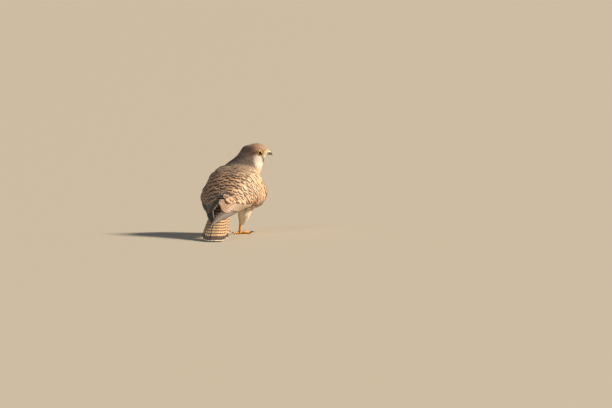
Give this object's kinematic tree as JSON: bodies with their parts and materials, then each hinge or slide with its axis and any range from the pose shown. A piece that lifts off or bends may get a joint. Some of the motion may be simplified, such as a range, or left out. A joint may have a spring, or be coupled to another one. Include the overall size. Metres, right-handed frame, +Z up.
{
  "type": "common kestrel",
  "caption": "Life-size female common kestrel standing with its head turned right, wings folded and tail lowered, for a still museum-like display of the whole bird",
  "frame": {"origin": "the middle of the whole bird's box in plan, on the floor that its toes and tail tip rest on", "axes": "+Z up, +Y along the bird from tail to breast (the way it heads), +X towards its right side"},
  "size_m": [0.1252, 0.3052, 0.1788],
  "materials": {
    "head_feathers": "soft short feathers, rufous brown crown with fine dark streaks, pale buff cheeks and throat, dark streak below the eye",
    "neck_feathers": "soft short feathers, streaked brown nape and cream throat",
    "body_feathers": "overlapping feathers, rufous buff with dark brown bars above, cream below with fine streaks",
    "wing_feathers": "barred rufous coverts over dark brown flight feathers with pale edges",
    "tail_feathers": "rufous buff vanes with narrow dark bars, a broad dark band and a pale tip",
    "thigh_feathers": "soft loose buff feathers",
    "leg_scales": "scuted yellow-orange skin",
    "claw_horn": "smooth black horn",
    "bill_horn": "smooth blue-grey horn, darker towards the tip",
    "cere_skin": "smooth yellow bare skin",
    "eye": "wet dark brown, nearly black"
  },
  "bodies": {
    "root": {"head": "head_feathers", "neck": "neck_feathers", "trunk": "body_feathers", "bill_upper": "bill_horn", "bill_lower": "bill_horn", "cere": "cere_skin", "eye_left": "eye", "eye_right": "eye", "wing_left": "wing_feathers", "wing_right": "wing_feathers", "tail": "tail_feathers", "thigh_left": "thigh_feathers", "thigh_right": "thigh_feathers", "foot_left": "leg_scales", "foot_right": "leg_scales", "claw_left_1": "claw_horn", "claw_left_2": "claw_horn", "claw_left_3": "claw_horn", "claw_left_4": "claw_horn", "claw_right_1": "claw_horn", "claw_right_2": "claw_horn", "claw_right_3": "claw_horn", "claw_right_4": "claw_horn"}
  },
  "joints": []
}
